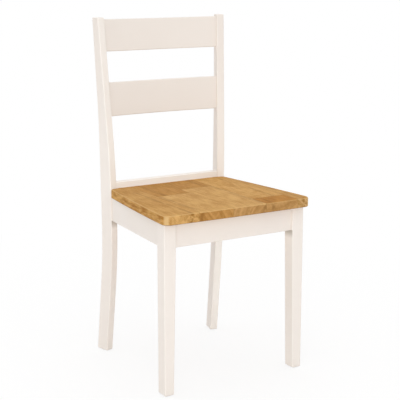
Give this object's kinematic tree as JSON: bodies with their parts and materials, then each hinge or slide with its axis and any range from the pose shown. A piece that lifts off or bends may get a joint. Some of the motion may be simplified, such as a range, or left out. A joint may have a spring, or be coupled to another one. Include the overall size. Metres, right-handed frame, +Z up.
{
  "type": "wooden dining chair",
  "caption": "Armless dining chair with a painted wooden frame, a raked ladder back of bent rails and a flat solid oak seat of glued blocks.",
  "frame": {"origin": "on the floor, at the middle of the chair's box in plan", "axes": "+Z up; the sitter faces -Y; left in a name is -X, as seen from the front"},
  "size_m": [0.4468, 0.4582, 0.95],
  "materials": {
    "ivory_paint": "satin ivory paint",
    "oiled_oak": "oiled golden oak",
    "oiled_oak_dark": "oiled oak, darker blocks",
    "raw_wood": "bare sawn hardwood",
    "zinc_steel": "zinc plated",
    "nylon": "moulded"
  },
  "bodies": {
    "root": {"front_leg_left": "ivory_paint", "front_leg_right": "ivory_paint", "back_post_left": "ivory_paint", "back_post_right": "ivory_paint", "crest_rail": "ivory_paint", "mid_rail": "ivory_paint", "rear_seat_rail": "ivory_paint", "front_apron": "ivory_paint", "side_apron_left": "ivory_paint", "side_apron_right": "ivory_paint", "corner_block_front_left": "raw_wood", "corner_block_front_right": "raw_wood", "corner_block_rear_left": "raw_wood", "corner_block_rear_right": "raw_wood", "seat_stave_1": "oiled_oak", "seat_stave_2_front": "oiled_oak", "seat_stave_2_rear": "oiled_oak_dark", "seat_stave_3_front": "oiled_oak", "seat_stave_3_rear": "oiled_oak_dark", "seat_stave_4_front": "oiled_oak_dark", "seat_stave_4_rear": "oiled_oak", "seat_stave_5": "oiled_oak", "front_leg_dowels": "raw_wood", "corner_block_screws": "zinc_steel", "seat_screws": "zinc_steel", "foot_glides": "nylon", "glide_nails": "zinc_steel"}
  },
  "joints": []
}
